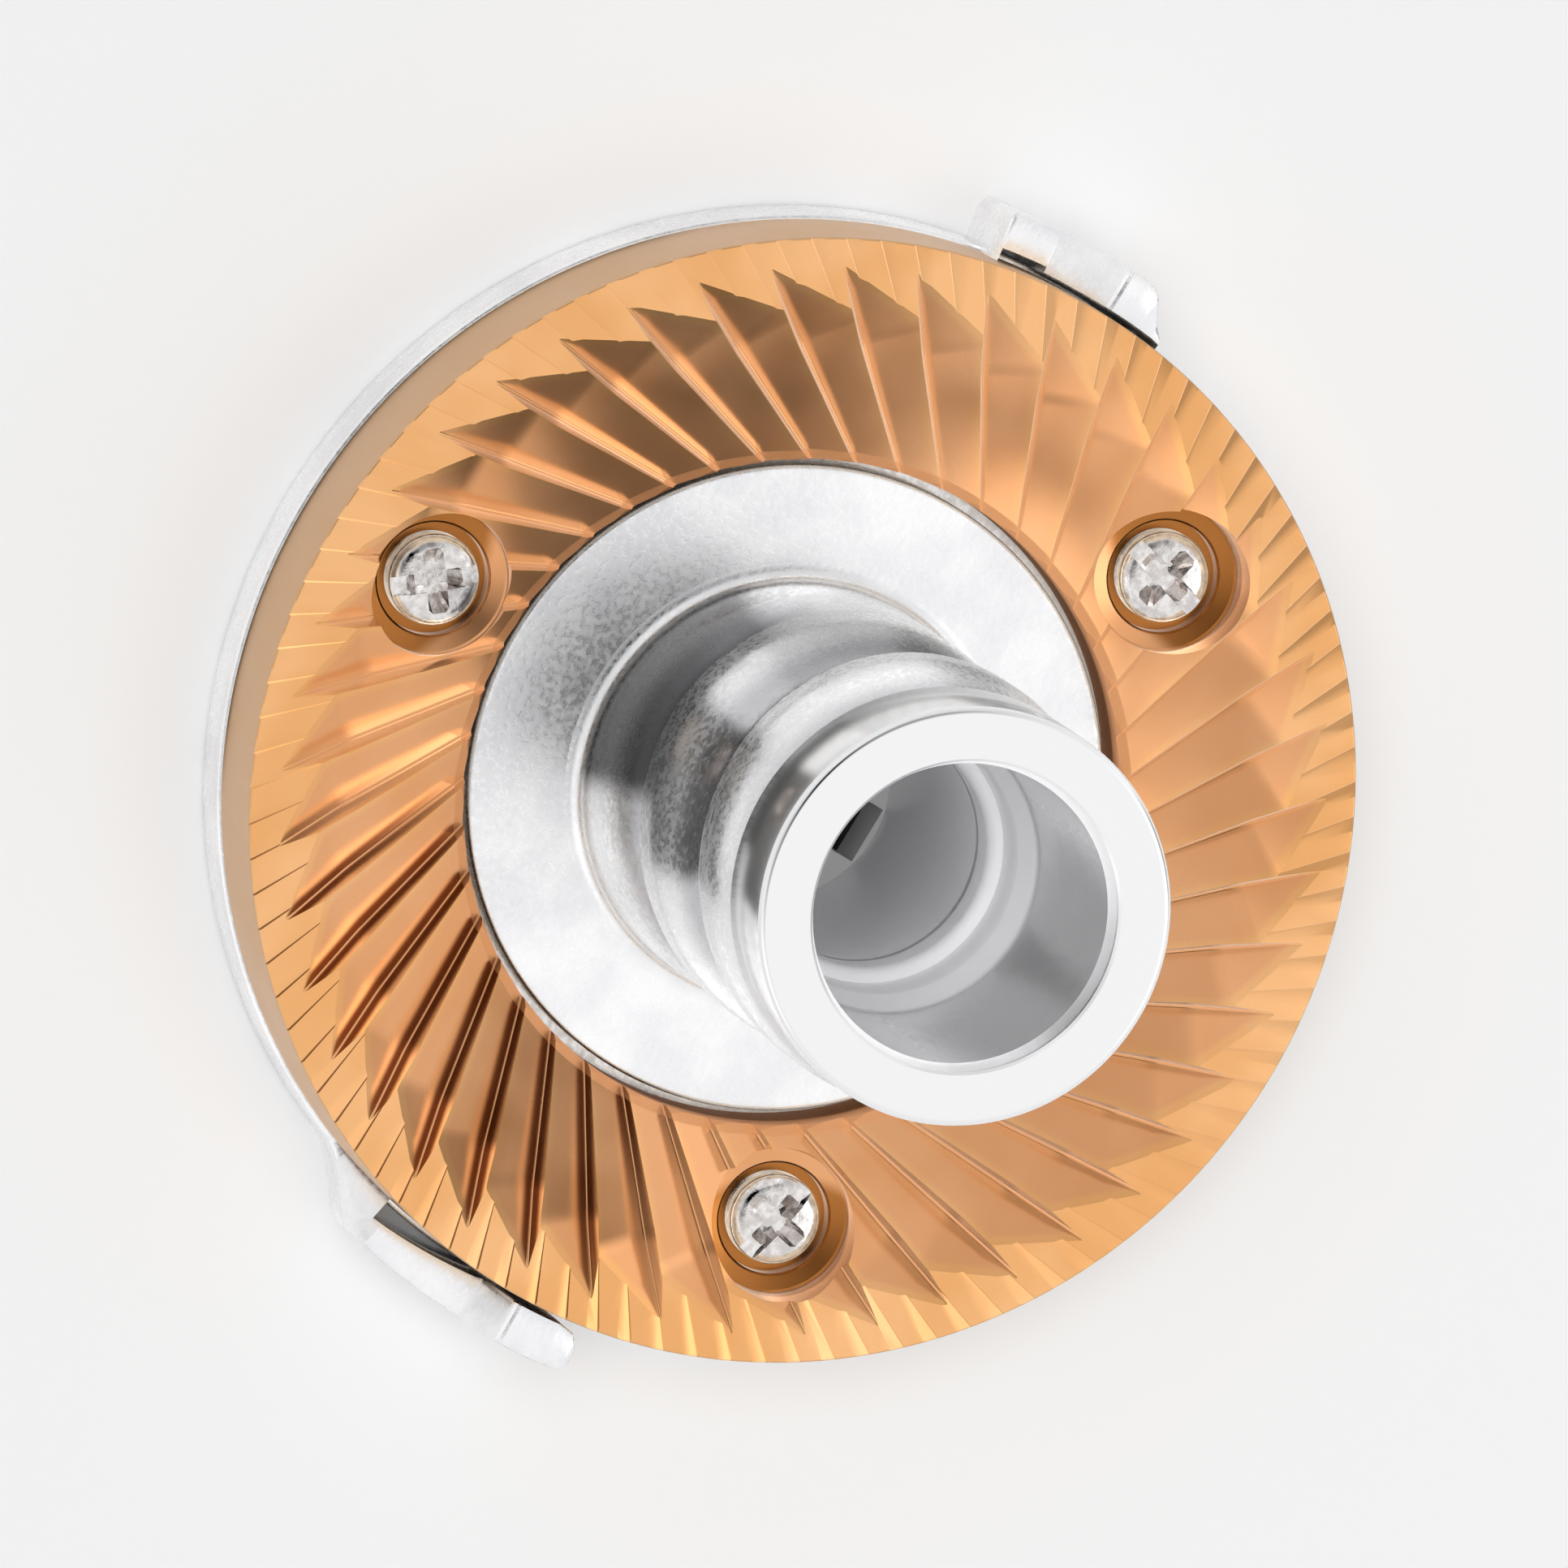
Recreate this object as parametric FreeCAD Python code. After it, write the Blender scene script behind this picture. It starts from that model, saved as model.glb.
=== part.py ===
import FreeCAD, Part
import math
import os

# Rotating half of a flat grinding set: toothed ring, cast carrier with auger hub, three screws
# Frame: millimetres, +Z is the axis towards the nose, z = 0 is the back face of the carrier
# Angles are degrees, counter-clockwise seen from the nose, and the first screw stands at 90

# Levels along the axis
plate_top = 3.4
face_level = 10.2
flange_top = 5.7
band_start = 38.3
nose_level = 44.6

# Toothed ring
ring_outer_radius = 32.0
ring_bore_radius = 19.0
ring_edge_chamfer = 0.3
dish_start_radius = 27.7
dish_angle = 15.85
bore_bevel_width = 0.75
bore_bevel_height = 1.1

# Breaker cuts, the large sawtooth cuts that crush the beans
breaker_count = 45
breaker_first_angle = 4.4
breaker_tip_radius = 30.5
breaker_line_radius = 11.6
breaker_entry_angle = 20.8
breaker_entry_run = 4.3
breaker_entry_bend = 6.0
breaker_bend_flats = 1
breaker_floor_angle = 10.6
breaker_ramp_angle = 28.0
breaker_wall_angle = 71.0
breaker_reach = 17.5

# Finishing grooves, the fine cuts that reach the outer edge
finishing_count = 100
finishing_first_angle = -0.6
finishing_line_radius = 11.7
finishing_depth = 0.13
finishing_length = 6.2
finishing_ramp_width = 0.8
finishing_wall_width = 0.08

# Screws and their stepped seats
screw_count = 3
screw_first_angle = 90.0
screw_circle_radius = 24.4
seat_outer_radius = 4.2
seat_outer_level = 6.9
seat_inner_radius = 3.2
seat_inner_level = 5.8
screw_hole_radius = 1.6
head_radius = 2.6
head_height = 1.8
head_edge_bevel = 0.55
shank_radius = 1.5
shank_end = 1.0
head_slot_width = 1.0
head_slot_depth = 0.55
head_slot_turns = (-51.5, -11.5, 75.5)
cross_arm_length = 3.4
cross_arm_width = 1.0
cross_depth = 1.3

# Cast carrier
rim_radius = 32.3
rim_chamfer = 0.25
flange_radius = 18.45
hub_radius = 11.9
hub_foot_width = 1.0
hub_foot_height = 0.9
nose_radius = 11.6
nose_chamfer = 0.4
mouth_radius = 8.6
mouth_depth = 1.2
mouth_chamfer = 0.15
bore_radius = 8.3
cone_top = 28.9
drive_bore_radius = 6.65
drive_bore_top = 24.9
web_top = 3.4
drive_slot_width = 3.4
drive_slot_length = 12.6

# Auger groove around the hub
auger_pitch = 13.3
auger_floor_radius = 10.55
auger_mouth_radius = 12.4
auger_half_width = 6.0
auger_flats = 5
auger_start_angle = 0.5
auger_start_level = 9.0
auger_turns = 2.65

# Sweeper lugs on the rim
lug_radius = 34.9
lug_gap_radius = 32.3
lug_top = 9.9
rib_top = 6.2
lug_slot_floor = 2.6
lug_mark_width = 0.25
lug_mark_depth = 0.25
right_lug_turn = 1.0


def at(radius, angle, level):
    """Point from a radius, an angle in degrees and a level."""
    turn = math.radians(angle)
    return FreeCAD.Vector(radius * math.cos(turn), radius * math.sin(turn), level)


def turned(outline):
    """Solid made by turning an outline of (radius, level) pairs about the axis."""
    points = [FreeCAD.Vector(radius, 0, level) for radius, level in outline]
    face = Part.Face(Part.makePolygon(points + points[:1]))
    return face.revolve(FreeCAD.Vector(0, 0, 0), FreeCAD.Vector(0, 0, 1), 360)


def copies(shape, count):
    """Equal copies of a shape, spaced evenly about the axis."""
    result = []
    for index in range(count):
        one = shape.copy()
        one.rotate(FreeCAD.Vector(0, 0, 0), FreeCAD.Vector(0, 0, 1), index * 360.0 / count)
        result.append(one)
    return result


def placed_on_line(shape, radius, line_radius, angle, level):
    """Move a cutter drawn at the origin, whose run points to -X, onto its straight cutting line."""
    heading = angle - math.degrees(math.acos(line_radius / radius)) + 90
    shape.rotate(FreeCAD.Vector(0, 0, 0), FreeCAD.Vector(0, 0, 1), heading)
    shape.translate(at(radius, angle, level))
    return shape


def breaker_cutter():
    """Cutter for one breaker cut: a bent root swept up the gentle ramp and up the steep wall."""
    entry = math.radians(breaker_entry_angle)
    floor = math.radians(breaker_floor_angle)

    def on_bend(slope):
        run = breaker_entry_run + breaker_entry_bend * (math.sin(entry) - math.sin(slope))
        drop = breaker_entry_run * math.tan(entry)
        drop = drop + breaker_entry_bend * (math.cos(slope) - math.cos(entry))
        return FreeCAD.Vector(-run, 0, -drop)

    clear = 4.0
    corners = [FreeCAD.Vector(clear * math.cos(entry), 0, clear * math.sin(entry))]
    for step in range(breaker_bend_flats + 1):
        corners.append(on_bend(entry + (floor - entry) * step / breaker_bend_flats))
    inner_drop = corners[-1].z - (breaker_reach + corners[-1].x) * math.tan(floor)
    corners.append(FreeCAD.Vector(-breaker_reach, 0, inner_drop))
    corners.append(FreeCAD.Vector(-breaker_reach, 0, corners[0].z))
    face = Part.Face(Part.makePolygon(corners + corners[:1]))
    ramp = math.radians(breaker_ramp_angle)
    wall = math.radians(breaker_wall_angle)
    ramp_side = face.extrude(FreeCAD.Vector(0, -8 * math.cos(ramp), 8 * math.sin(ramp)))
    wall_side = face.extrude(FreeCAD.Vector(0, 7 * math.cos(wall), 7 * math.sin(wall)))
    cutter = ramp_side.fuse(wall_side).removeSplitter()
    return placed_on_line(
        cutter, breaker_tip_radius, breaker_line_radius, breaker_first_angle, face_level
    )


def finishing_cutter():
    """Cutter for one fine groove: a three-sided wedge that runs out towards the inside."""
    high = 0.5
    slope = finishing_depth / finishing_length

    def section(run):
        depth = finishing_depth - run * slope
        wide = (depth + high) / finishing_depth
        root = FreeCAD.Vector(-run, 0, -depth)
        ramp_end = FreeCAD.Vector(-run, -finishing_ramp_width * wide, high)
        wall_end = FreeCAD.Vector(-run, finishing_wall_width * wide, high)
        return Part.makePolygon([root, ramp_end, wall_end, root])

    cutter = Part.makeLoft([section(-1.5), section(finishing_length)], True, True)
    return placed_on_line(
        cutter, ring_outer_radius, finishing_line_radius, finishing_first_angle, face_level
    )


def make_ring():
    """Steel ring with a dished face, breaker cuts, finishing grooves and stepped screw seats."""
    edge = ring_edge_chamfer
    bevel_radius = ring_bore_radius + bore_bevel_width
    dish_drop = (dish_start_radius - bevel_radius) * math.tan(math.radians(dish_angle))
    bevel_level = face_level - dish_drop
    blank = turned([
        (ring_bore_radius, plate_top),
        (ring_outer_radius, plate_top),
        (ring_outer_radius, face_level - edge),
        (ring_outer_radius - edge, face_level),
        (dish_start_radius, face_level),
        (bevel_radius, bevel_level),
        (ring_bore_radius, bevel_level - bore_bevel_height),
    ])
    ring = blank.cut(copies(breaker_cutter(), breaker_count))
    ring = ring.cut(copies(finishing_cutter(), finishing_count))
    place = at(screw_circle_radius, screw_first_angle, seat_outer_level)
    outer_seat = Part.makeCylinder(seat_outer_radius, 8, place)
    place = at(screw_circle_radius, screw_first_angle, seat_inner_level)
    inner_seat = Part.makeCylinder(seat_inner_radius, 8, place)
    place = at(screw_circle_radius, screw_first_angle, plate_top - 1)
    hole = Part.makeCylinder(screw_hole_radius, 8, place)
    seat = outer_seat.fuse([inner_seat, hole])
    return ring.cut(copies(seat, screw_count))


def auger_profile():
    """Corners of the groove section: flats along a shallow arc from lip to lip."""
    depth = auger_mouth_radius - auger_floor_radius
    bend = (auger_half_width ** 2 + depth ** 2) / (2 * depth)
    spread = math.asin(auger_half_width / bend)
    corners = []
    for step in range(auger_flats + 1):
        lean = spread * (2.0 * step / auger_flats - 1)
        radius = auger_floor_radius + bend * (1 - math.cos(lean))
        corners.append(FreeCAD.Vector(radius, 0, bend * math.sin(lean)))
    return corners


def make_hub():
    """Auger hub: a round post with one wide helical groove that fades in above its foot."""
    low = flange_top - 0.5
    post = turned([(0, low), (hub_radius, low), (hub_radius, band_start), (0, band_start)])
    foot = turned([
        (0, low),
        (hub_radius + hub_foot_width, low),
        (hub_radius + hub_foot_width, flange_top),
        (hub_radius + 0.3 * hub_foot_width, flange_top + 0.35 * hub_foot_height),
        (hub_radius, flange_top + hub_foot_height),
        (0, flange_top + hub_foot_height),
    ])
    helix = Part.makeHelix(auger_pitch, auger_pitch * auger_turns, auger_mouth_radius)
    corners = auger_profile()
    profile = Part.makePolygon(corners + corners[:1])
    pipe = Part.BRepOffsetAPI.MakePipeShell(Part.Wire(helix.Edges))
    pipe.setFrenetMode(True)
    pipe.add(profile)
    pipe.build()
    pipe.makeSolid()
    groove = pipe.shape()
    fade = Part.Face(profile).revolve(corners[0], FreeCAD.Vector(0, 0, 1), 360)
    for tool in (groove, fade):
        tool.rotate(FreeCAD.Vector(0, 0, 0), FreeCAD.Vector(0, 0, 1), auger_start_angle)
        tool.translate(FreeCAD.Vector(0, 0, auger_start_level))
        post = post.cut(tool)
    return post.fuse(foot)


def lug_outline(corners, low, high):
    """Upright block over a closed outline of (radius, angle) corners."""
    points = [at(radius, angle, low) for radius, angle in corners]
    face = Part.Face(Part.makePolygon(points + points[:1]))
    return face.extrude(FreeCAD.Vector(0, 0, high - low))


def arc_corners(radius, first, last, steps):
    """Corners along an arc, from the first angle to the last."""
    return [(radius, first + (last - first) * step / steps) for step in range(steps + 1)]


def make_lug(outline, tall_corners, slot_corners, plate_ends, rib_ends, slope_angles):
    """Sweeper lug near +X: foot plate, low rib with a slot, and a tall block with a sloped back."""
    inside = rim_radius - 1.5
    foot_corners = arc_corners(inside, plate_ends[1], plate_ends[0], 6) + outline
    foot = lug_outline(foot_corners, 0, plate_top)
    rib_corners = [(lug_gap_radius, 0.0)] + arc_corners(lug_radius, 0.0, rib_ends[0], 4)
    rib_corners = rib_corners + [(rib_ends[1], rib_ends[0]), (lug_gap_radius, rib_ends[0])]
    rib = lug_outline(rib_corners, plate_top - 0.5, rib_top)
    tall = lug_outline(tall_corners, plate_top - 0.5, lug_top)
    slot = lug_outline(slot_corners, lug_slot_floor, lug_top)
    mark = Part.makeBox(6, lug_mark_width, 2)
    mark.translate(FreeCAD.Vector(lug_gap_radius - 2, 0, lug_top - lug_mark_depth))
    mark.rotate(FreeCAD.Vector(0, 0, 0), FreeCAD.Vector(0, 0, 1), slope_angles[0] - 0.6)
    return foot.fuse([rib, tall]).cut([slot, sloped_back(slope_angles[0], slope_angles[1]), mark])


def sloped_back(first_angle, last_angle):
    """Cutter that slopes the back of a tall block from its top down to the rib."""
    wide_first = at(1, first_angle, 0)
    wide_last = at(1, last_angle, 0)
    near = lug_gap_radius - 1.2
    far = lug_radius + 2.0
    high = lug_top + 1.0
    rise = (high - rib_top) / (lug_top - rib_top)
    lead = first_angle - (last_angle - first_angle) * (rise - 1)
    wide_lead = at(1, lead, 0)
    sections = []
    for reach in (near, far):
        low_point = wide_last * reach + FreeCAD.Vector(0, 0, rib_top)
        top_point = wide_lead * reach + FreeCAD.Vector(0, 0, high)
        end_point = wide_last * reach + FreeCAD.Vector(0, 0, high)
        sections.append(Part.makePolygon([low_point, top_point, end_point, low_point]))
    return Part.makeLoft(sections, True, True)


def make_lugs():
    """The lug near +X and its longer, flared counterpart near -X."""
    slot_inside = ring_outer_radius + 0.1
    outline = [(32.2, -8.2), (33.2, -6.6), (34.6, -5.0), (lug_radius, -3.6)]
    outline = outline + arc_corners(lug_radius, -2.0, 9.0, 5) + [(34.5, 9.6), (32.1, 9.8)]
    tall = [(lug_gap_radius, 4.1), (lug_gap_radius, -8.0), (33.2, -6.6), (34.6, -5.0)]
    tall = tall + arc_corners(lug_radius, -3.6, 4.1, 4)
    slot = arc_corners(slot_inside, 3.9, 9.1, 3) + arc_corners(slot_inside + 0.55, 9.1, 3.9, 3)
    right = make_lug(outline, tall, slot, (-8.4, 10.0), (9.5, 34.4), (-1.0, 4.1))
    right.rotate(FreeCAD.Vector(0, 0, 0), FreeCAD.Vector(0, 0, 1), right_lug_turn)

    outline = [(32.2, -6.6), (33.0, -8.8), (34.3, -9.1), (34.75, -8.5)]
    outline = outline + arc_corners(lug_radius, -7.6, 12.9, 7)
    outline = outline + [(34.5, 14.2), (33.7, 16.0), (33.0, 17.8), (32.5, 19.8), (32.1, 21.7)]
    tall = [(lug_gap_radius, 0.9), (lug_gap_radius, -6.4), (33.0, -8.8), (34.3, -9.1)]
    tall = tall + [(34.75, -8.5)] + arc_corners(lug_radius, -7.6, 0.9, 5)
    slot = arc_corners(slot_inside, 1.6, 13.4, 6) + [(33.4, 13.4), (32.35, 1.6)]
    left = make_lug(outline, tall, slot, (-6.8, 21.8), (14.5, 34.0), (-1.2, 0.9))
    rail_corners = [(33.24, 12.9), (32.94, 12.9), (32.22, 4.4), (32.5, 4.4)]
    left = left.fuse(lug_outline(rail_corners, lug_slot_floor - 0.4, rib_top - 0.1))
    left = left.mirror(FreeCAD.Vector(0, 0, 0), FreeCAD.Vector(1, 0, 0))
    return right, left


def make_carrier():
    """One casting: rim plate, flange, auger hub, machined nose, bores, drive slot and lugs."""
    plate = turned([
        (0, 0),
        (rim_radius, 0),
        (rim_radius, plate_top - rim_chamfer),
        (rim_radius - rim_chamfer, plate_top),
        (flange_radius, plate_top),
        (flange_radius, flange_top),
        (0, flange_top),
    ])
    nose = turned([
        (0, band_start),
        (nose_radius, band_start),
        (nose_radius, nose_level - nose_chamfer),
        (nose_radius - nose_chamfer, nose_level),
        (0, nose_level),
    ])
    bores = turned([
        (0, web_top),
        (drive_bore_radius, web_top),
        (drive_bore_radius, drive_bore_top - 0.6),
        (drive_bore_radius + 0.3, drive_bore_top + 0.2),
        (bore_radius, cone_top),
        (bore_radius, nose_level - mouth_depth),
        (mouth_radius, nose_level - mouth_depth),
        (mouth_radius, nose_level - mouth_chamfer),
        (mouth_radius + mouth_chamfer + 0.1, nose_level + 0.1),
        (0, nose_level + 0.1),
    ])
    corner = FreeCAD.Vector(-drive_slot_width / 2, -drive_slot_length / 2, -1)
    slot = Part.makeBox(drive_slot_width, drive_slot_length, web_top + 2, corner)
    place = at(screw_circle_radius, screw_first_angle, shank_end - 0.1)
    tapped_hole = Part.makeCylinder(shank_radius + 0.02, 8, place)
    body = plate.fuse([make_hub(), nose] + list(make_lugs()))
    body = body.cut([bores, slot] + copies(tapped_hole, screw_count))
    return body.removeSplitter()


def make_screw(angle, slot_turn):
    """Pan-head screw with a slot and a cross recess, standing in the seat at an angle."""
    seat = seat_inner_level
    top = seat + head_height
    bevel = head_edge_bevel
    head = turned([
        (0, seat),
        (head_radius, seat),
        (head_radius, top - bevel),
        (head_radius - bevel, top),
        (0, top),
    ])
    shank = Part.makeCylinder(shank_radius, seat - shank_end, FreeCAD.Vector(0, 0, shank_end))
    long_half = cross_arm_length / 2
    wide_half = cross_arm_width / 2
    corner = FreeCAD.Vector(-head_radius - 1, -head_slot_width / 2, top - head_slot_depth)
    recess = [Part.makeBox(2 * head_radius + 2, head_slot_width, 2, corner)]
    for turn in (0, 90):
        sections = []
        for level, shrink in ((top + 0.01, 1.0), (top - cross_depth, 0.45)):
            far = long_half * shrink
            corners = [(far, wide_half), (-far, wide_half), (-far, -wide_half), (far, -wide_half)]
            points = [FreeCAD.Vector(x, y, level) for x, y in corners]
            sections.append(Part.makePolygon(points + points[:1]))
        arm = Part.makeLoft(sections, True, True)
        arm.rotate(FreeCAD.Vector(0, 0, 0), FreeCAD.Vector(0, 0, 1), turn)
        recess.append(arm)
    for tool in recess:
        tool.rotate(FreeCAD.Vector(0, 0, 0), FreeCAD.Vector(0, 0, 1), slot_turn)
    screw = head.fuse(shank).cut(recess).removeSplitter()
    screw.translate(at(screw_circle_radius, angle, 0))
    return screw


os.makedirs("parts", exist_ok=True)
make_ring().exportStep("parts/burr_ring.step")
make_carrier().exportStep("parts/burr_carrier.step")
for number, slot_turn in enumerate(head_slot_turns):
    angle = screw_first_angle + number * 360.0 / screw_count
    make_screw(angle, slot_turn).exportStep("parts/burr_screw_%d.step" % (number + 1))
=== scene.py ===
# %% [markdown]
# A flat grinding burr on its carrier: a toothed steel ring, a cast carrier with an auger hub and
# three screws.
# %% Load the frame
import math
import bpy
import bmesh
import numpy as np
from mathutils import Matrix, Vector


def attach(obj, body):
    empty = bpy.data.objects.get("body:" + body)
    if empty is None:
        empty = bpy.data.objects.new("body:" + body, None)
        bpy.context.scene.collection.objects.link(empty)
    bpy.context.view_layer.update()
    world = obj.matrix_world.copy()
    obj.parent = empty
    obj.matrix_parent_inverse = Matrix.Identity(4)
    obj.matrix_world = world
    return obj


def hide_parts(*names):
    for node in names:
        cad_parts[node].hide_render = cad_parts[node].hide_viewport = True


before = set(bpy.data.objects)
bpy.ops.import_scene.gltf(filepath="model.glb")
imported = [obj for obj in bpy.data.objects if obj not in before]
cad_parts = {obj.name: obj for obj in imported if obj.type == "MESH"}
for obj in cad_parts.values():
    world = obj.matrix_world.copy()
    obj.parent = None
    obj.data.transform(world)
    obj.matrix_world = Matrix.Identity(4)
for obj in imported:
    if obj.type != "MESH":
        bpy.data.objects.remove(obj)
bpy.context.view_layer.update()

MM = 0.001

# %% [markdown]
# Colours are written as they look on screen. A shader adds and multiplies light, and screen values
# are not light, so one function turns every code to linear values.
# %% Colour helper
def linear(hex_code):
    """Linear colour with alpha from a screen colour such as E8B27A."""
    result = []
    for start in (0, 2, 4):
        part = int(hex_code[start:start + 2], 16) / 255
        result.append(part / 12.92 if part <= 0.04045 else ((part + 0.055) / 1.055) ** 2.4)
    return result + [1.0]


print("screen grey 808080 is", round(linear("808080")[0], 3), "in linear light")

# %% [markdown]
# One function adds every node, in materials, in the surround and in geometry trees alike. It takes
# the node's kind, its inputs and its settings, and gives a socket for the next step, so a tree
# reads like a list of sums. A shader node's kind is written without its prefix, and an operation
# may follow it, as in "Math ADD".
# %% Node helpers
EASED = {"interpolation_type": "SMOOTHSTEP"}


def wire(tree, node, inputs):
    """Set or link a node's inputs, given in order or by name."""
    pairs = inputs.items() if isinstance(inputs, dict) else enumerate(inputs)
    for key, value in pairs:
        if isinstance(value, bpy.types.NodeSocket):
            tree.links.new(value, node.inputs[key])
        else:
            node.inputs[key].default_value = value


def add(tree, kind, *inputs, output=0, **settings):
    """Add a node with its inputs, and give one output, or the node where output is None."""
    name, _, operation = kind.partition(" ")
    node = tree.nodes.new(name if "Node" in name else "ShaderNode" + name)
    if operation:
        node.operation = operation
    for key, value in settings.items():
        setattr(node, key, value)
    wire(tree, node, inputs[0] if inputs and isinstance(inputs[0], dict) else inputs)
    return node if output is None else node.outputs[output]


def around_axis(tree, place):
    """Distance from the axis and level, as sockets in metres."""
    x, y, z = add(tree, "SeparateXYZ", place, output=None).outputs
    squares = [add(tree, "Math MULTIPLY", value, value) for value in (x, y)]
    return add(tree, "Math SQRT", add(tree, "Math ADD", *squares)), z


def polar(tree, radius, angle, level=0.0):
    """Point at a radius, an angle and a level."""
    x = add(tree, "Math MULTIPLY", radius, add(tree, "Math COSINE", angle))
    y = add(tree, "Math MULTIPLY", radius, add(tree, "Math SINE", angle))
    return add(tree, "CombineXYZ", x, y, level)


print("node helpers:", [helper.__name__ for helper in (wire, add, around_axis, polar)])

# %% [markdown]
# Geometry Nodes make what repeats or follows a rule. A tree has named inputs for its sizes, and it
# ends in Realize Instances and Set Material, because an export drops instances. Its inputs are set
# by the socket's identifier before the object is first evaluated, and the result is kept as a
# plain mesh, which later steps can cut and join.
# %% Tree and mesh helpers
def new_tree(name, sockets):
    """Geometry tree with named inputs, given as (name, kind, value), and one geometry output."""
    tree = bpy.data.node_groups.new(name, "GeometryNodeTree")
    tree.interface.new_socket("Geometry", in_out="INPUT", socket_type="NodeSocketGeometry")
    for label, kind, value in sockets:
        socket = tree.interface.new_socket(label, in_out="INPUT", socket_type="NodeSocket" + kind)
        if value is not None:
            socket.default_value = value
    tree.interface.new_socket("Geometry", in_out="OUTPUT", socket_type="NodeSocketGeometry")
    return tree, add(tree, "NodeGroupInput", output=None).outputs


def end_tree(tree, geometry, material):
    """Close a tree with Realize Instances and Set Material."""
    real = add(tree, "GeometryNodeRealizeInstances", geometry)
    done = add(tree, "GeometryNodeSetMaterial", {"Geometry": real, "Material": material})
    add(tree, "NodeGroupOutput", done, output=None)
    print("tree", tree.name, "has", len(tree.nodes), "nodes")
    return tree


def keep_result(made):
    """Put what an object's modifiers make in place of its mesh, without the modifiers."""
    bpy.context.view_layer.update()
    evaluated = made.evaluated_get(bpy.context.evaluated_depsgraph_get())
    mesh = bpy.data.meshes.new_from_object(evaluated)
    made.modifiers.clear()
    made.data = mesh
    mesh.name = made.name


def run_tree(made, tree, values):
    """Run a tree on an object and keep the result as its plain mesh."""
    modifier = made.modifiers.new(tree.name, "NODES")
    modifier.node_group = tree
    for item in tree.interface.items_tree:
        if item.item_type == "SOCKET" and item.in_out == "INPUT" and item.name in values:
            modifier[item.identifier] = values[item.name]
    keep_result(made)


def mesh_object(name, points, faces=(), edges=()):
    """Object from points in millimetres."""
    mesh = bpy.data.meshes.new(name)
    mesh.from_pydata([tuple(value * MM for value in point) for point in points], edges, faces)
    mesh.update()
    made = bpy.data.objects.new(name, mesh)
    bpy.context.scene.collection.objects.link(made)
    return made


def rectangle(half_x, half_y, level):
    """Corners of a level rectangle around the axis, in millimetres."""
    return [(x * half_x, y * half_y, level) for x, y in ((1, 1), (-1, 1), (-1, -1), (1, -1))]


print("mesh helpers make, for example, corners", rectangle(1, 2, 0))

# %% [markdown]
# A finished piece keeps its edges sharp where faces meet at more than an angle. Its parts are then
# joined, the piece rides on the root body, and the solids it stands for are hidden. One function
# does this for all pieces, so that none is forgotten.
# %% Piece helpers
def shade(made, angle):
    """Smooth shading with sharp edges where faces meet at more than an angle in degrees."""
    made.data.shade_smooth()
    made.data.set_sharp_from_angle(angle=math.radians(angle))
    made.data.update()


def join_piece(name, parts, nodes):
    """Join parts into one named piece, ride it on the root body and hide the solids it stands for.
    """
    bpy.ops.object.select_all(action="DESELECT")
    for part in parts:
        part.select_set(True)
    bpy.context.view_layer.objects.active = parts[0]
    if len(parts) > 1:
        bpy.ops.object.join()
    piece = bpy.context.view_layer.objects.active
    piece.name = name
    piece.data.name = name
    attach(piece, "root")
    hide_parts(*nodes)
    print(name, "has", sum(len(face.vertices) - 2 for face in piece.data.polygons), "triangles")


# %% [markdown]
# Nearly all materials here are metals, with the default IOR. A metal tints what it mirrors, so
# roughness matters as much as colour. Patterns read the object's coordinates, which are in metres,
# so a scale of 1 per millimetre is written as 1000. A colour may run along any value: a noise, the
# depth of a cut or the level above the back face.
# %% Material helpers
PER_MM = 1000.0


def new_material(name, metallic=1.0):
    """Material with its tree, its Principled shader and the object's coordinates."""
    print("material", name)
    material = bpy.data.materials.new(name)
    material.use_nodes = True
    tree = material.node_tree
    shader = tree.nodes["Principled BSDF"]
    shader.inputs["Metallic"].default_value = metallic
    return material, tree, shader, add(tree, "TexCoord", output="Object")


def tint(tree, value, low, high, dark, light):
    """Colour between two colours, each a screen code or a socket, eased along a value."""
    dark, light = (linear(item) if isinstance(item, str) else item for item in (dark, light))
    share = add(tree, "MapRange", value, low, high, 0.0, 1.0, **EASED)
    return add(tree, "Mix", {0: share, 6: dark, 7: light}, output=2, data_type="RGBA")


print("material helpers:", [helper.__name__ for helper in (new_material, tint)])

# %% [markdown]
# In a product shot, pale and dark cards stand around a metal part, and they show in its hollows.
# Walls that face each other show them twice. Here no cards stand in the scene: a short ramp by
# azimuth paints the grey that a mirror ray would find on a neighbouring wall, as a painted
# reflection in the material. Real cards could do it too, but those would stand in the way of other
# views.
# %% Painted reflections of cards
def painted_cards(tree, place, stops):
    """Painted reflection: grey by azimuth around the axis, from stops in degrees, white at -180 and
    180.
    """
    x, y, z = add(tree, "SeparateXYZ", place, output=None).outputs
    angle = add(tree, "Math ARCTAN2", y, x)
    share = add(tree, "MapRange", angle, -math.pi, math.pi, 0.0, 1.0)
    ramp = add(tree, "ValToRGB", share, output=None)
    points = ramp.color_ramp.elements
    points[0].color = points[1].color = (1.0, 1.0, 1.0, 1.0)
    for azimuth, grey in stops:
        points.new((azimuth + 180) / 360).color = (grey, grey, grey, 1.0)
    return ramp.outputs["Color"]


# Stops of the painted reflections, grey by azimuth, for the flange, the hub and the teeth.
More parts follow.
